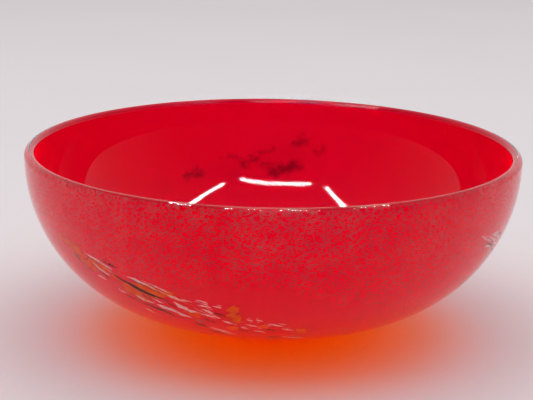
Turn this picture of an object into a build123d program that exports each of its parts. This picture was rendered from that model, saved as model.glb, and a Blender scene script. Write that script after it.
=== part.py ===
from build123d import *
from build123d.topology import SkipClean
import math
import os
import random

# A free-standing bowl of blown and cased art glass, drawn rim up along +Z.
# The origin is the centre of the ground foot, on the surface that the bowl stands on.
# Lengths are millimetres and angles are degrees.
#
# From the inside outwards the wall is red glass, a thin layer of pale powder flecks, and a clear
# casing. Coloured shards lie on the flecks in three diagonal swirls, each in its own pocket of the
# casing. Every surface of the wall is an arc turned about Z, and the arcs of the layers share their
# centres, so a place on the wall is given by two angles: "angle" round the bowl from +X, and "down",
# the fall below level as seen from the centre of the wall's arc.

# Overall size
RIM_RADIUS = 145.0
HEIGHT = 110.0
WALL = 6.4

# Outer surface: a rounded side, a long shallow underside, and a flat foot ground into it
SIDE_ARC = 92.0
SIDE_ARC_HEIGHT = 105.5
UNDERSIDE_ARC = 900.0
PONTIL_RADIUS = 14.0
PONTIL_DEPTH = 1.2

# Inner surface: a rounded side and a dished bottom that is level on the axis
INNER_ARC = 84.5
INNER_ARC_HEIGHT = 106.5

# Where the side arcs meet the underside and the bottom
TURN_DOWN = 66.0

# Layers, counted outwards from the inner surface
RED_THICKNESS = 2.6
FLECK_THICKNESS = 0.5
SHARD_THICKNESS = 0.6
PLAIN_LIP = 2.2

# The band of wall that holds the shards, and how far a cutter reaches each side of it
SHARD_BAND = (8.0, TURN_DOWN)
CUTTER_REACH = 3.0
WIDEST_AT = -0.12

# The casing is turned in two halves that meet where no shard lies
HALVES_MEET = 31.0

COLOURS = ("white", "black", "orange", "grey")

# The front swirl starts at this angle and falls to the right round the front of the bowl.
# Each shard runs from one place to another, given as (angle past the start, down), and has a width.
FRONT_START = -146.0
FRONT_SWIRL = {
    "white": [
        ((9.5, 24), (17, 27.5), 1.1),
        ((11, 27.5), (15, 31), 1.2),
        ((10, 33), (13, 34.5), 1.0),
        ((15.5, 38), (17.5, 39), 1.0),
        ((21.5, 29.5), (28.5, 33), 1.5),
        ((28.5, 31), (31.5, 33.5), 0.8),
        ((23.5, 40.7), (25.5, 41.5), 1.0),
        ((21, 39), (23.5, 41), 1.4),
        ((20.5, 47), (23, 49), 1.2),
        ((26.5, 38.6), (28.5, 40.4), 1.0),
        ((31, 35), (35.5, 37), 1.0),
        ((32, 39), (37, 43), 2.7),
        ((26.5, 42.5), (34.5, 47), 2.6),
        ((38.5, 35.5), (41, 36.5), 0.9),
        ((39, 38), (41.5, 39), 0.9),
        ((42.2, 38), (44.2, 38.6), 0.9),
        ((39, 40.5), (41.5, 42.2), 1.3),
        ((38.5, 43.5), (43, 45.5), 1.2),
        ((43.5, 47), (46, 49), 1.3),
        ((39, 54), (45, 60), 1.8),
        ((50, 45), (51.5, 45.5), 0.8),
        ((52.5, 45), (54, 45.7), 0.8),
        ((50, 49), (52.5, 50), 1.2),
        ((48, 51), (50, 52.5), 0.9),
        ((51.5, 54), (54.5, 55), 1.0),
        ((55.5, 47.5), (59.5, 49.5), 1.0),
        ((59.5, 51.5), (62.5, 53.5), 1.0),
        ((60, 60), (68.5, 65), 1.6),
    ],
    "black": [
        ((15, 24.5), (19, 26.5), 1.2),
        ((12.5, 31), (15, 33), 0.9),
        ((17, 30), (30, 39), 2.2),
        ((30.5, 39.8), (32, 42), 1.0),
        ((17.8, 40.5), (20.5, 42.5), 0.7),
        ((22, 43), (30, 48), 2.0),
        ((38.5, 47), (41, 49), 0.9),
        ((35, 51), (38, 54.5), 1.8),
        ((42, 41.8), (44.5, 43.2), 1.3),
        ((37.5, 57.5), (42, 62), 1.0),
        ((47.5, 54), (50, 55.5), 1.0),
        ((55, 52), (57.5, 53.5), 1.0),
        ((55.5, 60), (59.5, 62), 1.2),
    ],
    "orange": [
        ((0.5, 20.5), (4, 23), 1.2),
        ((4.5, 22.5), (8, 25.5), 2.4),
        ((7.2, 28), (10.6, 30.5), 2.0),
        ((10.5, 25.9), (16, 29.3), 1.2),
        ((20.5, 31), (33, 38), 2.4),
        ((15.8, 33), (25, 39), 2.2),
        ((34.8, 43.7), (38, 45.5), 1.4),
        ((45.5, 39), (48, 40.5), 2.0),
        ((45, 43.5), (48.5, 46), 2.4),
        ((44.5, 52), (46.5, 54), 1.8),
        ((53, 49.5), (55.2, 50.7), 1.2),
        ((63, 53), (67, 55.5), 1.6),
    ],
    "grey": [
        ((3.5, 25.5), (5.7, 29), 1.3),
        ((6, 30.5), (7.5, 33), 0.9),
        ((35.5, 48.3), (38, 50), 1.0),
    ],
}

# The other two swirls are strewn along lanes that fan out from their starts, and the outer lanes
# start later and stop sooner by so many degrees. Each swirl is
# (start angle, down at the start, fall in "down" for each degree round, angle covered, seed).
STREWN_SWIRLS = {
    "side": (-37.0, 17.0, 0.60, 58.0, 4),
    "back": (70.0, 19.0, 0.34, 62.0, 11),
}
LANES = 7
LANE_FAN = 7.0
LANE_LEAD = 6.0
LANE_FILL = 0.7
OUTER_LANES_START = 6.0
OUTER_LANES_STOP = 8.0
SHARD_SPAN = (2.5, 8.0)
GAP_SPAN = (1.0, 4.5)
SHARD_WIDTH = (0.8, 1.9)
STREWN_COLOURS = "white white white black black black orange orange grey".split()


def sine(degrees):
    """The sine of an angle in degrees."""
    return math.sin(math.radians(degrees))


def cosine(degrees):
    """The cosine of an angle in degrees."""
    return math.cos(math.radians(degrees))


def on_arc(centre, radius, down):
    """The point of an arc in the XZ section that lies so many degrees below level."""
    return Vector(centre[0] + radius * cosine(down), 0, centre[1] - radius * sine(down))


def arc(centre, radius, first, last):
    """An arc in the XZ section, from one angle below level to another."""
    return ThreePointArc(*[on_arc(centre, radius, down) for down in (first, (first + last) / 2, last)])


def section_arcs():
    """The centres of the section's four arcs, as (radius, height), and the bottom's inner radius."""
    inner_side = (RIM_RADIUS - WALL - INNER_ARC, INNER_ARC_HEIGHT)
    bottom_arc = INNER_ARC + inner_side[0] / cosine(TURN_DOWN)
    inner_bottom = (0.0, INNER_ARC_HEIGHT + inner_side[0] * math.tan(math.radians(TURN_DOWN)))
    outer_side = (RIM_RADIUS - SIDE_ARC, SIDE_ARC_HEIGHT)
    reach = UNDERSIDE_ARC - SIDE_ARC
    underside = (outer_side[0] - reach * cosine(TURN_DOWN), SIDE_ARC_HEIGHT + reach * sine(TURN_DOWN))
    return inner_side, inner_bottom, bottom_arc, outer_side, underside


INNER_SIDE, INNER_BOTTOM, BOTTOM_ARC, OUTER_SIDE, UNDERSIDE = section_arcs()
LIP = (RIM_RADIUS - WALL / 2, HEIGHT - WALL / 2)
LIP_RADIUS = WALL / 2
FLECKS_OUTSIDE = RED_THICKNESS + FLECK_THICKNESS
FLECKS_TOP = HEIGHT - PLAIN_LIP
LIP_SPLIT = -math.degrees(math.acos((RIM_RADIUS - WALL + FLECKS_OUTSIDE - LIP[0]) / LIP_RADIUS))


def rising_line(offset, top):
    """The section line at an offset outwards from the inner surface, from the axis up to a height."""
    side = arc(INNER_SIDE, INNER_ARC + offset, TURN_DOWN, 0)
    return [
        arc(INNER_BOTTOM, BOTTOM_ARC + offset, 90, TURN_DOWN),
        side,
        Line(side @ 1, Vector((side @ 1).X, 0, top)),
    ]


def turned(*edges):
    """The solid that a closed section makes when it is turned about Z."""
    return revolve(make_face(edges), axis=Axis.Z)


def red_inner_layer():
    """The red glass, with the inner half of the lip and a step that the flecks stop under."""
    inside = rising_line(0, LIP[1])
    outside = rising_line(RED_THICKNESS, FLECKS_TOP)
    lip = arc(LIP, LIP_RADIUS, -180, LIP_SPLIT)
    step = Vector((lip @ 1).X, 0, FLECKS_TOP)
    return turned(
        *inside,
        lip,
        Line(lip @ 1, step),
        Line(step, outside[-1] @ 1),
        *outside,
        Line(outside[0] @ 0, inside[0] @ 0),
    )


def fleck_layer():
    """The thin layer of flecks, an even offset of the red glass."""
    inside = rising_line(RED_THICKNESS, FLECKS_TOP)
    outside = rising_line(FLECKS_OUTSIDE, FLECKS_TOP)
    return turned(
        *inside,
        Line(inside[-1] @ 1, outside[-1] @ 1),
        *outside,
        Line(outside[0] @ 0, inside[0] @ 0),
    )


def clear_casing(pockets):
    """The outer glass, less its pockets. Its two halves keep the edge where they meet."""
    lip = arc(LIP, LIP_RADIUS, LIP_SPLIT, 0)
    inside = rising_line(FLECKS_OUTSIDE, (lip @ 0).Z)
    side = arc(OUTER_SIDE, SIDE_ARC, 0, TURN_DOWN)
    foot_turn = math.degrees(math.asin(UNDERSIDE[1] / UNDERSIDE_ARC))
    underside = arc(UNDERSIDE, UNDERSIDE_ARC, TURN_DOWN, foot_turn)
    hollow_arc = (PONTIL_RADIUS**2 + PONTIL_DEPTH**2) / (2 * PONTIL_DEPTH)
    hollow_edge = -math.degrees(math.acos(PONTIL_RADIUS / hollow_arc))
    hollow = arc((0.0, PONTIL_DEPTH - hollow_arc), hollow_arc, hollow_edge, -90)
    section = make_face([
        *inside,
        lip,
        Line(lip @ 1, side @ 0),
        side,
        underside,
        Line(underside @ 1, hollow @ 0),
        hollow,
        Line(hollow @ 1, inside[0] @ 0),
    ])
    with SkipClean():
        first, second = [
            revolve(section.rotate(Axis.Z, angle), axis=Axis.Z, revolution_arc=180) - pockets
            for angle in (HALVES_MEET, HALVES_MEET + 180)
        ]
        return first + second


def shard_skin():
    """The thin ring of wall, just outside the flecks, that every shard is cut from."""
    inside = arc(INNER_SIDE, INNER_ARC + FLECKS_OUTSIDE, *SHARD_BAND)
    outside = arc(INNER_SIDE, INNER_ARC + FLECKS_OUTSIDE + SHARD_THICKNESS, *SHARD_BAND)
    return turned(inside, Line(inside @ 1, outside @ 1), outside, Line(outside @ 0, inside @ 0))


def on_wall(angle, down):
    """The place at mid depth of the shards, and the wall's outward direction there."""
    section = on_arc(INNER_SIDE, INNER_ARC + FLECKS_OUTSIDE + SHARD_THICKNESS / 2, down)
    outward = Vector(cosine(down), 0, -sine(down))
    return section.rotate(Axis.Z, angle), outward.rotate(Axis.Z, angle)


def shard(skin, start, end, width):
    """A sliver of the skin with pointed ends, from one (angle, down) to another."""
    first, last = on_wall(*start)[0], on_wall(*end)[0]
    place, outward = on_wall((start[0] + end[0]) / 2, (start[1] + end[1]) / 2)
    half = (last - first).length / 2
    shoulder = half * WIDEST_AT
    outline = make_face([
        ThreePointArc((-half, 0), (shoulder, width / 2), (half, 0)),
        ThreePointArc((half, 0), (shoulder, -width / 2), (-half, 0)),
    ])
    cutter = extrude(Plane(place, x_dir=last - first, z_dir=outward) * outline, CUTTER_REACH, both=True)
    return (cutter & skin).solids()


def strewn_rows(start, down, fall, covered, seed):
    """Shards end to end along lanes that fan out from a swirl's start, grouped by colour."""
    draw = random.Random(seed)
    rows = {colour: [] for colour in COLOURS}
    for lane in range(LANES):
        across = lane / (LANES - 1) * 2 - 1
        along = draw.uniform(*GAP_SPAN) + abs(across) * OUTER_LANES_START
        while along < covered - abs(across) * OUTER_LANES_STOP:
            span = draw.uniform(*SHARD_SPAN)
            fan = [LANE_FAN * math.sqrt((turn + LANE_LEAD) / covered) for turn in (along, along + span)]
            ends = [
                (start + turn, down + fall * turn + across * spread)
                for turn, spread in zip((along, along + span), fan)
            ]
            lane_pitch = math.radians(2 * fan[0] / (LANES - 1)) * INNER_ARC
            width = min(draw.uniform(*SHARD_WIDTH), LANE_FILL * lane_pitch)
            rows[draw.choice(STREWN_COLOURS)].append((*ends, width))
            along += span + draw.uniform(*GAP_SPAN)
    return rows


def swirls():
    """Every swirl's shards as {node: solids}."""
    front = {
        colour: [
            ((FRONT_START + first[0], first[1]), (FRONT_START + last[0], last[1]), width)
            for first, last, width in rows
        ]
        for colour, rows in FRONT_SWIRL.items()
    }
    layouts = {"front": front}
    for name, course in STREWN_SWIRLS.items():
        layouts[name] = strewn_rows(*course)
    skin = shard_skin()
    nodes = {}
    for name, layout in layouts.items():
        for colour, rows in layout.items():
            solids = [solid for row in rows for solid in shard(skin, *row)]
            if solids:
                nodes[f"{name}_swirl_{colour}"] = solids
    return nodes


shards = swirls()
every_shard = [solid for solids in shards.values() for solid in solids]
nodes = {
    "red_inner_layer": red_inner_layer(),
    "fleck_layer": fleck_layer(),
    "clear_casing": clear_casing(every_shard),
}
for node, solids in shards.items():
    nodes[node] = Compound(children=solids)

os.makedirs("parts", exist_ok=True)
for node, shape in nodes.items():
    export_step(shape, f"parts/{node}.step")
    print(node, len(shape.solids()), "solids", round(shape.volume, 1), "mm3")
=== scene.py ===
import math
import random

import bpy
from mathutils import Matrix, Vector


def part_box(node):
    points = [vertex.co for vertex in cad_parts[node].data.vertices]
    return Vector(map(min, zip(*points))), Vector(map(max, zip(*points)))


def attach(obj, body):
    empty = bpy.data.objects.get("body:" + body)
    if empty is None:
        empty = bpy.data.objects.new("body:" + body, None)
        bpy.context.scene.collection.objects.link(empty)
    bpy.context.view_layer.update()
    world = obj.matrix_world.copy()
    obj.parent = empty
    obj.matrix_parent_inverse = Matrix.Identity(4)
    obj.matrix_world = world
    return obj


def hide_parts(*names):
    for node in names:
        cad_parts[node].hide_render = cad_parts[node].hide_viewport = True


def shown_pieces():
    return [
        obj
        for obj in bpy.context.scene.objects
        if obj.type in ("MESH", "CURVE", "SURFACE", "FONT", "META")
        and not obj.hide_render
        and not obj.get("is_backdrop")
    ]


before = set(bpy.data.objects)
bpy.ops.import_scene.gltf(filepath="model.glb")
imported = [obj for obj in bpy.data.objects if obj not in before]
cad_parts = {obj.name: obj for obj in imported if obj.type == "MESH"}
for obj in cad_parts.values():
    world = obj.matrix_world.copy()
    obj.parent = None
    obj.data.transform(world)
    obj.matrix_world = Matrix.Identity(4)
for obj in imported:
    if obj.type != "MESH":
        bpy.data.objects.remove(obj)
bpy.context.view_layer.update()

# The section of the bowl, in metres. The layers' arcs share their centres, as in the CAD.
MM = 0.001
RIM_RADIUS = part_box("clear_casing")[1].x
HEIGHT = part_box("clear_casing")[1].z
WALL = 6.4 * MM
SIDE_ARC = 92.0 * MM
SIDE_ARC_HEIGHT = 105.5 * MM
UNDERSIDE_ARC = 900.0 * MM
PONTIL_RADIUS = 14.0 * MM
PONTIL_DEPTH = 1.2 * MM
INNER_ARC = 84.5 * MM
INNER_ARC_HEIGHT = 106.5 * MM
TURN_DOWN = 66.0
RED_THICKNESS = 2.6 * MM
FLECK_THICKNESS = 0.5 * MM
PLAIN_LIP = 2.2 * MM
FLECKS_OUTSIDE = RED_THICKNESS + FLECK_THICKNESS
FUSED = 0.12 * MM          # how far each outer piece runs into the one inside it

LIP = (RIM_RADIUS - WALL / 2, HEIGHT - WALL / 2)
LIP_RADIUS = WALL / 2
INNER_SIDE = (RIM_RADIUS - WALL - INNER_ARC, INNER_ARC_HEIGHT)
OUTER_SIDE = (RIM_RADIUS - SIDE_ARC, SIDE_ARC_HEIGHT)

SEGMENTS = 288             # round the bowl
WALL_STEPS = 72            # along each side arc
FLOOR_SIZE = 9.0

# Overhead frame of small lamps, in metres: each row is a list of corners
LAMP_HEIGHT = 0.5
LAMP_PITCH = 0.0125
LAMP_ALONG = 0.0065
LAMP_ACROSS = (0.021, 0.0105, 0.0105)
LAMP_ROWS = [
    [(0.110, -0.168), (0.049, -0.144), (-0.003, -0.134), (-0.124, -0.127)],
    [(0.161, -0.115), (0.178, -0.029), (0.196, 0.091)],
    [(-0.169, -0.092), (-0.167, 0.001), (-0.169, 0.094)],
]

# Light from the white tent, and from its open side behind the camera
TENT_LIGHT = 0.745
OPEN_SIDE_LIGHT = 0.28


# ---------------------------------------------------------------- mesh helpers

def sine(degrees):
    return math.sin(math.radians(degrees))


def cosine(degrees):
    return math.cos(math.radians(degrees))


def on_arc(centre, radius, down):
    return (centre[0] + radius * cosine(down), centre[1] - radius * sine(down))


def arc(centre, radius, first, last, steps):
    """Points of an arc in the section, from one angle below level to another."""
    return [on_arc(centre, radius, first + (last - first) * i / steps) for i in range(steps + 1)]


def rising_line(offset, top):
    """The section line at an offset outwards from the inner surface, from the axis up to a height."""
    bottom_arc = INNER_ARC + INNER_SIDE[0] / cosine(TURN_DOWN)
    bottom = (0.0, INNER_ARC_HEIGHT + INNER_SIDE[0] * math.tan(math.radians(TURN_DOWN)))
    side = arc(INNER_SIDE, INNER_ARC + offset, TURN_DOWN, 0, WALL_STEPS)
    return arc(bottom, bottom_arc + offset, 90, TURN_DOWN, 24)[:-1] + side + [(side[-1][0], top)]


def blown(radius, angle, height):
    """The slow waviness of a hand-blown wall: a small pull inwards, in metres, the same through every layer."""
    up = height / HEIGHT
    wave = (
        0.30 * math.sin(2 * angle + 0.7 + 1.3 * up)
        + 0.26 * math.sin(3 * angle + 2.1 - 2.2 * up)
        + 0.12 * math.sin(7 * angle + 0.4 + 5.0 * up)
        + 0.10 * math.sin(11 * angle - 6.0 * up)
    )
    return -(0.78 + wave) * 0.28 * MM * min(1.0, radius / (60 * MM)) * min(1.0, up * 4)


def lathe(name, section):
    """A closed skin of revolution. The section starts and ends on the axis."""
    verts = []
    for radius, height in section[1:-1]:
        for step in range(SEGMENTS):
            angle = 2 * math.pi * step / SEGMENTS
            r = radius + blown(radius, angle, height)
            verts.append((r * math.cos(angle), r * math.sin(angle), height))
    rings = len(section) - 2
    faces = []
    for ring in range(rings - 1):
        for step in range(SEGMENTS):
            following = (step + 1) % SEGMENTS
            faces.append((
                ring * SEGMENTS + step,
                (ring + 1) * SEGMENTS + step,
                (ring + 1) * SEGMENTS + following,
                ring * SEGMENTS + following,
            ))
    start, end = len(verts), len(verts) + 1
    verts += [(0, 0, section[0][1]), (0, 0, section[-1][1])]
    last = (rings - 1) * SEGMENTS
    for step in range(SEGMENTS):
        following = (step + 1) % SEGMENTS
        faces.append((start, step, following))
        faces.append((end, last + following, last + step))
    mesh = bpy.data.meshes.new(name)
    mesh.from_pydata(verts, [], faces)
    mesh.update()
    mesh.shade_smooth()
    piece = bpy.data.objects.new(name, mesh)
    bpy.context.scene.collection.objects.link(piece)
    return piece


def sharp_edges(piece, limit):
    """Shades edges that turn by more than a limit as sharp."""
    mesh = piece.data
    mesh.set_sharp_from_angle(angle=math.radians(limit))


# ---------------------------------------------------------------- node helpers

class Shader:
    """Short hand for building one material's nodes."""

    def __init__(self, name):
        self.material = bpy.data.materials.new(name)
        self.material.use_nodes = True
        self.tree = self.material.node_tree
        self.tree.nodes.clear()
        self.output = self.tree.nodes.new("ShaderNodeOutputMaterial")

    def add(self, kind, sockets=None, **settings):
        """A node. Each of its sockets gets a number or colour, or a link from another node's output."""
        node = self.tree.nodes.new("ShaderNode" + kind)
        for key, value in settings.items():
            setattr(node, key, value)
        for key, value in (sockets or {}).items():
            if isinstance(value, bpy.types.NodeSocket):
                self.tree.links.new(value, node.inputs[key])
            else:
                node.inputs[key].default_value = value
        return node

    def math(self, operation, *values, clamp=False):
        node = self.add("Math", dict(enumerate(values)), operation=operation, use_clamp=clamp)
        return node.outputs[0]

    def mix(self, share, first, second, blend_type="MIX"):
        node = self.add("Mix", data_type="RGBA", blend_type=blend_type)
        for index, value in ((0, share), (6, first), (7, second)):
            if isinstance(value, bpy.types.NodeSocket):
                self.tree.links.new(value, node.inputs[index])
            else:
                node.inputs[index].default_value = value
        return node.outputs[2]

    def ramp(self, value, *stops):
        """A colour ramp through (place, colour) stops."""
        node = self.add("ValToRGB", {0: value})
        elements = node.color_ramp.elements
        while len(elements) < len(stops):
            elements.new(0.5)
        for element, (place, colour) in zip(elements, stops):
            element.position = place
            element.color = colour if len(colour) == 4 else (*colour, 1.0)
        return node.outputs[0]

    def step(self, value, low, high):
        """0 below low, 1 above high, smooth between."""
        node = self.add("MapRange", {0: value, 1: low, 2: high, 3: 0.0, 4: 1.0})
        node.interpolation_type = "SMOOTHSTEP"
        return node.outputs[0]

    def place(self):
        """The point on the bowl in millimetres: x, y, z and distance from the axis."""
        point = self.add("TexCoord").outputs["Object"]
        scaled = self.add("VectorMath", {0: point, "Scale": 1 / MM}, operation="SCALE").outputs[0]
        split = self.add("SeparateXYZ", {0: scaled})
        x, y, z = split.outputs
        flat = self.add("CombineXYZ", {0: x, 1: y, 2: 0.0}).outputs[0]
        radius = self.add("VectorMath", {0: flat}, operation="LENGTH").outputs["Value"]
        return x, y, z, radius

    def noise(self, vector, scale, detail=2.0, roughness=0.5, distortion=0.0):
        node = self.add(
            "TexNoise",
            {"Vector": vector, "Scale": scale, "Detail": detail, "Roughness": roughness, "Distortion": distortion},
        )
        return node.outputs

    def finish(self, surface):
        self.tree.links.new(surface, self.output.inputs["Surface"])
        return self.material


def colour(red, green, blue):
    return (red, green, blue, 1.0)


RED = colour(1.0, 0.0008, 0.075)
DEEP_RED = colour(1.0, 0.0003, 0.055)
LIP_RED = colour(0.74, 0.0003, 0.06)
PALE = colour(1.0, 0.62, 0.85)
PALER = colour(1.0, 1.0, 1.0)
FLECK_GLASS = colour(0.86, 0.32, 0.92)

# Painted shade on the lining: dark spots in its colour where the back swirl's streaks would block the light coming
# through the wall:
# (angle, down) of each end, half width in mm, and how dark
PAINTED_STREAK_SHADE = [
    ((117, 31.8), (113, 30.3), 3.6, 0.8),
    ((104, 24.8), (101, 24.2), 3.0, 0.45),
    ((99.5, 27), (95.5, 25), 3.4, 0.8),
    ((98.5, 29.3), (97, 28.6), 2.4, 0.35),
    ((94, 22.3), (90, 21), 2.6, 0.4),
    ((93, 28.4), (89.5, 27.4), 2.8, 0.5),
    ((89.3, 31), (83, 28.2), 4.8, 1.0),
    ((83.5, 18), (80.5, 16), 4.0, 0.6),
    ((78, 20.4), (75.5, 19.6), 3.0, 0.4),
]
DRIFT = 12.0 * MM          # how unevenly the edges of that painted shade run
FLECKS_LOW = 0.17          # how solid the pale threads are low on the wall, and at the rim
FLECKS_HIGH = 0.72
FLECKS_PASS = 0.82         # share of the light that the threads pass on rather than send back
PASSED_ON = 0.72           # share of the scattered light that goes on through the wall


def clear_glass():
    """The casing: clear glass, fire polished, with the faintest waviness."""
    s = Shader("clear_glass")
    x, y, z, radius = s.place()
    point = s.add("TexCoord").outputs["Object"]
    wave = s.noise(point, 28.0, 1.0)[0]
    bump = s.add("Bump", {"Strength": 0.05, "Distance": 0.0006, "Height": wave}).outputs[0]
    ground = s.step(z, 0.35, 0.05)
    rough = s.math("MULTIPLY", ground, 0.12)
    body = s.add(
        "BsdfPrincipled",
        {
            "Base Color": colour(1.0, 0.985, 0.985),
            "Roughness": rough,
            "Normal": bump,
            "Transmission Weight": 1.0,
            "IOR": 1.5,
            "Specular Tint": colour(0.07, 0.07, 0.07),
        },
    )
    return s.finish(body.outputs[0])


def fused_face():
    """The casing's inner face, which has no gloss because it is fused to the flecked glass."""
    s = Shader("fused_clear_glass")
    body = s.add("BsdfTransparent", {"Color": colour(1, 1, 1)})
    return s.finish(body.outputs[0])


def red_glass():
    """The lining: deep red, cloudy enough to pass soft light, glossy where it meets the air, with painted shade in its
    colour where the back swirl's streaks lie behind it.
    """
    s = Shader("red_glass")
    x, y, z, radius = s.place()
    point = s.add("TexCoord").outputs["Object"]
    cloud = s.noise(point, 9.0, 3.0)[0]
    tone = s.ramp(cloud, (0.3, DEEP_RED[:3]), (0.7, RED[:3]))
    lip = (HEIGHT - PLAIN_LIP) / MM
    tone = s.mix(s.step(z, lip - 0.3, lip + 0.3), tone, LIP_RED)
    wave = s.noise(point, 22.0, 1.0)[0]
    bump = s.add("Bump", {"Strength": 0.08, "Distance": 0.0008, "Height": wave}).outputs[0]
    cloudy = s.noise(point, 190.0, 3.0, 0.6)[0]
    drift = s.add(
        "VectorMath", {0: s.noise(point, 130.0, 2.0, 0.6)[1], 1: (0.5, 0.5, 0.5)}, operation="SUBTRACT"
    ).outputs[0]
    blurred = s.add("VectorMath", {0: drift, 1: (DRIFT, DRIFT, DRIFT), 2: point}, operation="MULTIPLY_ADD").outputs[0]
    # Painted shade: the lining's colour darkens where the back swirl's streaks lie behind the wall
    shade = None
    for start, end, half, dark in PAINTED_STREAK_SHADE:
        first, last = (Vector(on_wall(*place, 0.0)) for place in (start, end))
        run = last - first
        gone = s.add("VectorMath", {0: blurred, 1: first}, operation="SUBTRACT").outputs[0]
        unit = run / run.length_squared
        share = s.add("VectorMath", {0: gone, 1: unit}, operation="DOT_PRODUCT").outputs["Value"]
        share = s.math("ADD", share, 0.0, clamp=True)
        nearest = s.add("VectorMath", {0: run, "Scale": share}, operation="SCALE").outputs[0]
        gap = s.add("VectorMath", {0: gone, 1: nearest}, operation="DISTANCE").outputs["Value"]
        ragged = s.math("MULTIPLY_ADD", cloudy, 0.9 * half * MM, gap)
        spot = s.math("MULTIPLY", s.step(ragged, 1.9 * half * MM, 0.0), dark)
        shade = spot if shade is None else s.math("MAXIMUM", shade, spot)
    # Mix the colour towards a near-black red where that painted shade falls
    tone = s.mix(s.math("MULTIPLY", shade, 0.75), tone, colour(0.12, 0.0003, 0.02))
    returned = s.mix(PASSED_ON, tone, colour(0, 0, 0))
    passed = s.mix(1 - PASSED_ON, tone, colour(0, 0, 0))
    front = s.add(
        "BsdfPrincipled",
        {
            "Base Color": returned,
            "Roughness": 0.02,
            "Normal": bump,
            "IOR": 1.5,
            "Specular Tint": colour(0.06, 0.06, 0.06),
        },
    )
    through = s.add("BsdfTranslucent", {"Color": passed})
    body = s.add("AddShader", {0: front.outputs[0], 1: through.outputs[0]})
    return s.finish(body.outputs[0])


def flecked_glass():
    """Clear glass full of short pale threads, level low on the wall and slanting near the rim."""
    s = Shader("flecked_glass")
    x, y, z, radius = s.place()
    point = s.add("TexCoord").outputs["Object"]
    high = s.step(z, 15.0, 100.0)
    slant = s.math("MULTIPLY_ADD", high, 3.0, 1.0)
    layers = []
    for layer, (length, width, drift) in enumerate(((1.9, 0.50, 330.0), (1.35, 0.43, 450.0))):
        sway = s.math("SUBTRACT", s.noise(point, drift, 1.0)[0], 0.5)
        along = s.math("ADD", s.math("ADD", radius, z), s.math("MULTIPLY", sway, slant))
        stretched = s.add(
            "CombineXYZ",
            {
                0: s.math("MULTIPLY_ADD", x, 1 / length, 50.0 * layer),
                1: s.math("MULTIPLY", y, 1 / length),
                2: s.math("MULTIPLY", along, 1 / width),
            },
        ).outputs[0]
        grain = s.noise(stretched, 1.0, 1.0, 0.4)[0]
        bare = s.math("MULTIPLY_ADD", high, -0.045, 0.585 + 0.02 * layer)
        layers.append(s.step(s.math("SUBTRACT", grain, bare), -0.01, 0.045))
    mask = s.math("MAXIMUM", *layers)
    patch = s.noise(point, 14.0, 2.0)[0]
    dense = s.math("MULTIPLY_ADD", s.step(patch, 0.3, 0.7), 0.35, 0.65)
    strength = s.math("MULTIPLY_ADD", high, FLECKS_HIGH - FLECKS_LOW, FLECKS_LOW)
    # Painted sheen: the real pale threads are made thicker towards the left and right sides as seen from the camera,
    # standing in for the glass's grazing reflection of the white tent there
    sideways = s.math("DIVIDE", s.math("ABSOLUTE", x), radius)
    painted_side_sheen = s.math("MULTIPLY_ADD", s.step(sideways, 0.3, 0.95), 0.46, 0.54)
    strength = s.math("MULTIPLY", strength, painted_side_sheen)
    amount = s.math("MULTIPLY", mask, s.math("MULTIPLY", dense, strength))
    tint = s.noise(point, 90.0, 1.0)[0]
    pale = s.ramp(tint, (0.35, PALE[:3]), (0.7, PALER[:3]))
    front = s.add(
        "BsdfPrincipled",
        {"Base Color": pale, "Roughness": 0.6, "Specular IOR Level": 0.0},
    )
    through = s.add("BsdfTranslucent", {"Color": pale})
    marks = s.add("MixShader", {0: FLECKS_PASS, 1: front.outputs[0], 2: through.outputs[0]})
    clear = s.add("BsdfTransparent", {"Color": FLECK_GLASS})
    body = s.add("MixShader", {0: amount, 1: clear.outputs[0], 2: marks.outputs[0]})
    return s.finish(body.outputs[0])


def shard_glass(name, tone, edge, spread):
    """Opaque coloured glass, drawn out into streaks: its colour runs unevenly into a second one."""
    s = Shader(name)
    x, y, z, radius = s.place()
    point = s.add("TexCoord").outputs["Object"]
    streak = s.noise(point, spread, 3.0, 0.6, 0.6)[0]
    mixed = s.ramp(streak, (0.35, edge), (0.62, tone))
    body = s.add(
        "BsdfPrincipled",
        {"Base Color": mixed, "Roughness": 0.5, "Specular IOR Level": 0.0},
    )
    return s.finish(body.outputs[0])


# ---------------------------------------------------------------- the bowl

def lining():
    split = math.degrees(math.acos((RIM_RADIUS - WALL + FLECKS_OUTSIDE - LIP[0]) / LIP_RADIUS))
    outside = rising_line(RED_THICKNESS, HEIGHT - PLAIN_LIP)
    step = RIM_RADIUS - WALL + FLECKS_OUTSIDE
    section = (
        rising_line(0, LIP[1])
        + arc(LIP, LIP_RADIUS, -180, -split, 20)[1:]
        + [(step, HEIGHT - PLAIN_LIP)]
        + outside[::-1]
    )
    piece = lathe("lining", section)
    sharp_edges(piece, 50)
    piece.data.materials.append(red_glass())
    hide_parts("red_inner_layer")
    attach(piece, "root")
    return piece


def flecks():
    outside = rising_line(FLECKS_OUTSIDE, HEIGHT - PLAIN_LIP)
    inside = rising_line(RED_THICKNESS - FUSED, HEIGHT - PLAIN_LIP)
    piece = lathe("flecks", inside + outside[::-1])
    sharp_edges(piece, 50)
    piece.data.materials.append(flecked_glass())
    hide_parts("fleck_layer")
    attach(piece, "root")
    return piece


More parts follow.
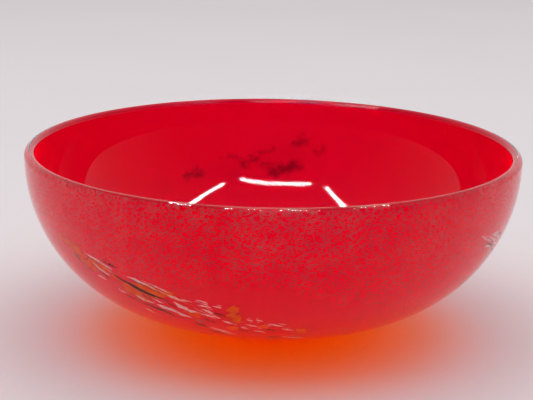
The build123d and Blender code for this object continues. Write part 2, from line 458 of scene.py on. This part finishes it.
def casing():
    split = math.degrees(math.acos((RIM_RADIUS - WALL + FLECKS_OUTSIDE - LIP[0]) / LIP_RADIUS))
    reach = UNDERSIDE_ARC - SIDE_ARC
    underside = (OUTER_SIDE[0] - reach * cosine(TURN_DOWN), SIDE_ARC_HEIGHT + reach * sine(TURN_DOWN))
    foot = math.degrees(math.asin(underside[1] / UNDERSIDE_ARC))
    lip = arc(LIP, LIP_RADIUS, -split, 0, 20)
    hollow = [(PONTIL_RADIUS * (1 - i / 8), PONTIL_DEPTH * (1 - (1 - i / 8) ** 2)) for i in range(9)]
    inside = rising_line(RED_THICKNESS - FUSED, lip[0][1] - FUSED)
    section = (
        inside
        + lip
        + arc(OUTER_SIDE, SIDE_ARC, 0, TURN_DOWN, WALL_STEPS)
        + arc(underside, UNDERSIDE_ARC, TURN_DOWN, foot, 16)[1:]
        + hollow
    )
    piece = lathe("casing", section)
    sharp_edges(piece, 50)
    piece.data.materials.append(clear_glass())
    piece.data.materials.append(fused_face())
    for face in piece.data.polygons[:SEGMENTS * (len(inside) - 1)]:
        face.material_index = 1
    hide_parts("clear_casing")
    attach(piece, "root")
    return piece


def solids_of(piece):
    """The separate solids of a CAD node, each as a list of its corners in the shared frame."""
    corner_of, home = {}, []
    for vertex in piece.data.vertices:
        place = piece.matrix_world @ vertex.co
        key = tuple(round(value * 1e6) for value in place)
        corner_of.setdefault(key, (len(corner_of), place))
        home.append(corner_of[key][0])
    places = [place for _, place in corner_of.values()]
    group = list(range(len(places)))

    def root(corner):
        while group[corner] != corner:
            corner = group[corner]
        return corner

    for edge in piece.data.edges:
        first, last = (root(home[vertex]) for vertex in edge.vertices)
        group[max(first, last)] = min(first, last)
    solids = {}
    for corner, place in enumerate(places):
        solids.setdefault(root(corner), []).append(place)
    return [solids[corner] for corner in sorted(solids)]


def wall_place(point):
    """A point's angle round the bowl and angle below level, in degrees."""
    radius = math.hypot(point.x, point.y)
    return Vector((
        math.degrees(math.atan2(point.y, point.x)),
        math.degrees(math.atan2(INNER_SIDE[1] - point.z, radius - INNER_SIDE[0])),
    ))


def wall_scale(down):
    """Metres to a degree round the bowl, and to a degree down it."""
    reach = INNER_ARC + FLECKS_OUTSIDE
    return math.radians(INNER_SIDE[0] + reach * cosine(down)), math.radians(reach)


def on_wall(angle, down, offset):
    """The point of the wall at an offset outwards from the inner surface."""
    radius, height = on_arc(INNER_SIDE, INNER_ARC + offset, down)
    turn = math.radians(angle)
    radius += blown(radius, turn, height)
    return radius * math.cos(turn), radius * math.sin(turn), height


def streak_of(solid):
    """The two ends of a sliver's long line, as (angle, down), and its width in metres."""
    places = [wall_place(point) for point in solid]
    turned = [Vector(((place.x - places[0].x + 180) % 360 - 180, place.y)) for place in places]
    middle = sum(turned, Vector((0, 0))) / len(turned)
    scale = Vector(wall_scale(places[0].y + middle.y - turned[0].y))
    flat = [Vector(((place.x - middle.x) * scale.x, (place.y - middle.y) * scale.y)) for place in turned]
    heading = max(flat, key=lambda place: place.length).normalized()
    side = Vector((-heading.y, heading.x))
    spans = [place.dot(heading) for place in flat]
    widths = [place.dot(side) for place in flat]
    ends = []
    for span in (min(spans), max(spans)):
        ends.append(Vector((
            places[0].x + middle.x + heading.x * span / scale.x,
            middle.y + heading.y * span / scale.y,
        )))
    return ends[0], ends[1], max(widths) - min(widths)


def add_streak(verts, faces, first, last, width, offset, thickness, draw):
    """A drawn-out sliver of glass on the wall: ragged sides, fine ends, thickest along its middle."""
    scale = Vector(wall_scale((first.y + last.y) / 2))
    run = Vector(((last.x - first.x) * scale.x, (last.y - first.y) * scale.y))
    length = run.length
    if length < 1e-5:
        return
    side = Vector((-run.y, run.x)) / length
    stations = max(8, min(30, round(length / (0.7 * MM))))
    phase = [draw.uniform(0, 2 * math.pi) for _ in range(5)]
    bulge = draw.uniform(0.3, 0.6)
    settled = min(1.0, length / (12 * MM))
    base = len(verts)
    for station in range(stations + 1):
        share = station / stations
        body = min(1.0, share / bulge, (1 - share) / (1 - bulge))
        full = math.sin(body * math.pi / 2) ** 0.75
        ragged = 1 + 0.22 * math.sin(9 * share + phase[0]) + 0.16 * math.sin(23 * share + phase[1])
        half = max(width / 2 * full * ragged, 0.03 * MM)
        wander = width * settled * (0.28 * math.sin(4 * share + phase[2]) + 0.12 * math.sin(13 * share + phase[3]))
        crown = thickness * (0.25 + 0.75 * full)
        for across, lift in ((-1, 0.0), (-0.55, 0.8), (0.1, 1.0), (0.6, 0.75), (1, 0.0), (0, -0.15)):
            shift = side * (half * across + wander)
            verts.append(on_wall(
                first.x + (last.x - first.x) * share + shift.x / scale.x,
                first.y + (last.y - first.y) * share + shift.y / scale.y,
                offset + crown * lift,
            ))
    for station in range(stations):
        for corner in range(6):
            following = (corner + 1) % 6
            faces.append((
                base + station * 6 + corner,
                base + station * 6 + following,
                base + (station + 1) * 6 + following,
                base + (station + 1) * 6 + corner,
            ))
    end = base + stations * 6
    faces.append(tuple(base + corner for corner in range(5, -1, -1)))
    faces.append(tuple(end + corner for corner in range(6)))


def shards():
    """Each swirl node's slivers, drawn out into ragged streaks with fine threads beside them."""
    glass = {
        "white": shard_glass("white_glass", (1.0, 0.90, 0.88), (1.0, 0.55, 0.55), 420.0),
        "black": shard_glass("black_glass", (0.030, 0.004, 0.004), (0.14, 0.010, 0.006), 300.0),
        "orange": shard_glass("orange_glass", (1.0, 0.17, 0.004), (0.95, 0.05, 0.004), 260.0),
        "grey": shard_glass("grey_glass", (0.30, 0.24, 0.27), (0.5, 0.16, 0.18), 300.0),
    }
    # how much wider than its solid a streak is drawn, how deep it lies, and its fine threads
    drawing = {
        "white": (1.25, 0.10 * MM, 0.45 * MM, 3),
        "black": (1.0, 0.06 * MM, 0.35 * MM, 3),
        "orange": (4.0, 0.00 * MM, 0.16 * MM, 12),
        "grey": (1.3, 0.12 * MM, 0.35 * MM, 2),
    }
    for node in sorted(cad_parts):
        tone = node.split("_")[-1]
        if "swirl" not in node:
            continue
        widen, lift, thickness, threads = drawing[tone]
        draw = random.Random(node)
        verts, faces = [], []
        for solid in solids_of(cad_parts[node]):
            first, last, width = streak_of(solid)
            reach = last - first
            offset = FLECKS_OUTSIDE + lift
            add_streak(verts, faces, first - reach * 0.06, last + reach * 0.06, width * widen, offset, thickness, draw)
            for _ in range(threads):
                shift = Vector((draw.uniform(-0.5, 0.5) * reach.x, draw.uniform(-1.5, 1.5)))
                start = first + shift + reach * draw.uniform(-0.2, 0.5)
                size = draw.uniform(0.25, 0.7)
                thin = draw.uniform(0.25, 0.55) * MM
                add_streak(verts, faces, start, start + reach * size, thin, offset, thickness * 0.4, draw)
        mesh = bpy.data.meshes.new(node + "_streaks")
        mesh.from_pydata(verts, [], faces)
        mesh.update()
        mesh.shade_smooth()
        mesh.materials.append(glass[tone])
        piece = bpy.data.objects.new(node + "_streaks", mesh)
        bpy.context.scene.collection.objects.link(piece)
        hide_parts(node)
        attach(piece, "root")


# ---------------------------------------------------------------- the studio

def floor():
    mesh = bpy.data.meshes.new("floor")
    half = FLOOR_SIZE / 2
    mesh.from_pydata([(-half, -half, 0), (half, -half, 0), (half, half, 0), (-half, half, 0)], [], [(0, 1, 2, 3)])
    piece = bpy.data.objects.new("floor", mesh)
    bpy.context.scene.collection.objects.link(piece)
    s = Shader("pale_floor")
    point = s.add("TexCoord").outputs["Object"]
    cloud = s.noise(point, 3.0, 3.0)[0]
    tone = s.ramp(cloud, (0.3, (0.795, 0.755, 0.775)), (0.7, (0.81, 0.775, 0.795)))
    body = s.add("BsdfPrincipled", {"Base Color": tone, "Roughness": 0.55, "Specular IOR Level": 0.0})
    piece.data.materials.append(s.finish(body.outputs[0]))
    piece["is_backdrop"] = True
    return piece


def strip_lights():
    """Rows of small lamps round three sides of an overhead frame. Only mirror reflections see them."""
    verts, faces = [], []
    for row, across in zip(LAMP_ROWS, LAMP_ACROSS):
        for (x0, y0), (x1, y1) in zip(row, row[1:]):
            length = math.hypot(x1 - x0, y1 - y0)
            along = Vector(((x1 - x0) / length, (y1 - y0) / length))
            count = round(length / LAMP_PITCH)
            for lamp in range(count):
                middle = Vector((x0, y0)) + along * length * (lamp + 0.5) / count
                base = len(verts)
                for corner in range(8):
                    angle = math.pi / 4 * corner
                    out = along * LAMP_ALONG * math.cos(angle)
                    out += Vector((-along.y, along.x)) * across * math.sin(angle)
                    verts.append((middle.x + out.x, middle.y + out.y, LAMP_HEIGHT))
                faces.append(tuple(base + corner for corner in range(8)))
    mesh = bpy.data.meshes.new("lamps")
    mesh.from_pydata(verts, [], faces)
    piece = bpy.data.objects.new("lamps", mesh)
    bpy.context.scene.collection.objects.link(piece)
    s = Shader("lamp_light")
    glow = s.add("Emission", {"Color": colour(1.0, 0.97, 0.96), "Strength": 400.0})
    material = s.finish(glow.outputs[0])
    material.cycles.emission_sampling = "NONE"
    piece.data.materials.append(material)
    piece.visible_camera = False
    piece.visible_diffuse = False
    piece.visible_transmission = False
    piece.visible_volume_scatter = False
    piece.visible_shadow = False
    piece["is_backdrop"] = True


def floor_lights(stage):
    """What the red glass does to the light round the foot: it lets orange through and keeps blue back."""
    only_floor = bpy.data.collections.new("floor_only")
    only_floor.objects.link(stage)
    for name, energy, tint, spread, blend in (
        ("passed_light", 15.5, (1.0, 0.12, 0.0), 17.0, 1.0),
        ("kept_back_light", -2.8, (0.0, 0.35, 1.0), 14.6, 0.45),
    ):
        lamp = bpy.data.lights.new(name, "SPOT")
        lamp.energy = energy
        lamp.color = tint
        lamp.spot_size = math.radians(spread)
        lamp.spot_blend = blend
        lamp.shadow_soft_size = 0.02
        lamp.use_shadow = False
        piece = bpy.data.objects.new(name, lamp)
        piece.location = (0, -0.01, 1.0)
        piece.visible_camera = False
        piece.visible_glossy = False
        piece.light_linking.receiver_collection = only_floor
        piece.light_linking.blocker_collection = only_floor
        bpy.context.scene.collection.objects.link(piece)


def soft_light():
    world = bpy.data.worlds.new("tent")
    bpy.context.scene.world = world
    world.use_nodes = True
    nodes, links = world.node_tree.nodes, world.node_tree.links
    back = nodes["Background"]
    back.inputs["Color"].default_value = colour(1.0, 0.985, 0.99)
    split = nodes.new("ShaderNodeSeparateXYZ")
    links.new(nodes.new("ShaderNodeTexCoord").outputs["Generated"], split.inputs[0])

    def fade(value, first, last, low, high):
        node = nodes.new("ShaderNodeMapRange")
        node.interpolation_type = "SMOOTHSTEP"
        for index, number in enumerate((first, last, low, high), 1):
            node.inputs[index].default_value = number
        links.new(value, node.inputs[0])
        return node.outputs[0]

    links.new(fade(split.outputs["Y"], -0.35, -0.65, TENT_LIGHT, OPEN_SIDE_LIGHT), back.inputs["Strength"])
    lamp = bpy.data.lights.new("top_panel", "AREA")
    lamp.shape = "SQUARE"
    lamp.size = 2.4
    lamp.energy = 14.0
    lamp.color = (1.0, 0.985, 0.985)
    piece = bpy.data.objects.new("top_panel", lamp)
    piece.location = (0, -0.1, 1.7)
    piece.visible_camera = False
    piece.visible_glossy = False
    bpy.context.scene.collection.objects.link(piece)


def front_fill():
    """Light from the room behind the camera. It is for the bowl's face and passes the floor by."""
    lamp = bpy.data.lights.new("front_fill", "AREA")
    lamp.shape = "RECTANGLE"
    lamp.size = 3.2
    lamp.size_y = 1.1
    lamp.energy = 26.0
    lamp.color = (1.0, 0.98, 0.985)
    piece = bpy.data.objects.new("front_fill", lamp)
    piece.location = (0, -2.1, 0.55)
    piece.rotation_euler = (math.radians(90), 0, 0)
    piece.visible_camera = False
    piece.visible_glossy = False
    bpy.context.scene.collection.objects.link(piece)
    lit = bpy.data.collections.new("lit_by_front_fill")
    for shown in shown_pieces():
        lit.objects.link(shown)
    piece.light_linking.receiver_collection = lit


def camera():
    """The photograph's viewpoint: 0.87 m from the bowl and 19 degrees above it."""
    lens = bpy.data.cameras.new("camera")
    lens.sensor_width = 36.0
    lens.lens = 96.99
    eye = bpy.data.objects.new("camera", lens)
    place = Vector((0.0, -0.8240, 0.2961))
    target = Vector((-0.0035, 0.0, 0.0762))
    roll = Matrix.Rotation(math.radians(-0.918), 4, "Z")
    aim = (target - place).to_track_quat("-Z", "Y").to_matrix().to_4x4()
    eye.matrix_world = Matrix.Translation(place) @ aim @ roll.inverted()
    bpy.context.scene.collection.objects.link(eye)
    bpy.context.scene.camera = eye


def film():
    scene = bpy.context.scene
    scene.view_settings.view_transform = "Standard"
    scene.view_settings.look = "None"
    scene.cycles.use_denoising = True
    scene.cycles.max_bounces = 32
    scene.cycles.diffuse_bounces = 16
    scene.cycles.glossy_bounces = 6
    scene.cycles.transparent_max_bounces = 24
    scene.cycles.transmission_bounces = 16
    scene.cycles.caustics_refractive = True
    scene.cycles.caustics_reflective = True


camera()
lining()
flecks()
casing()
shards()
surface = floor()
strip_lights()
floor_lights(surface)
soft_light()
front_fill()
film()
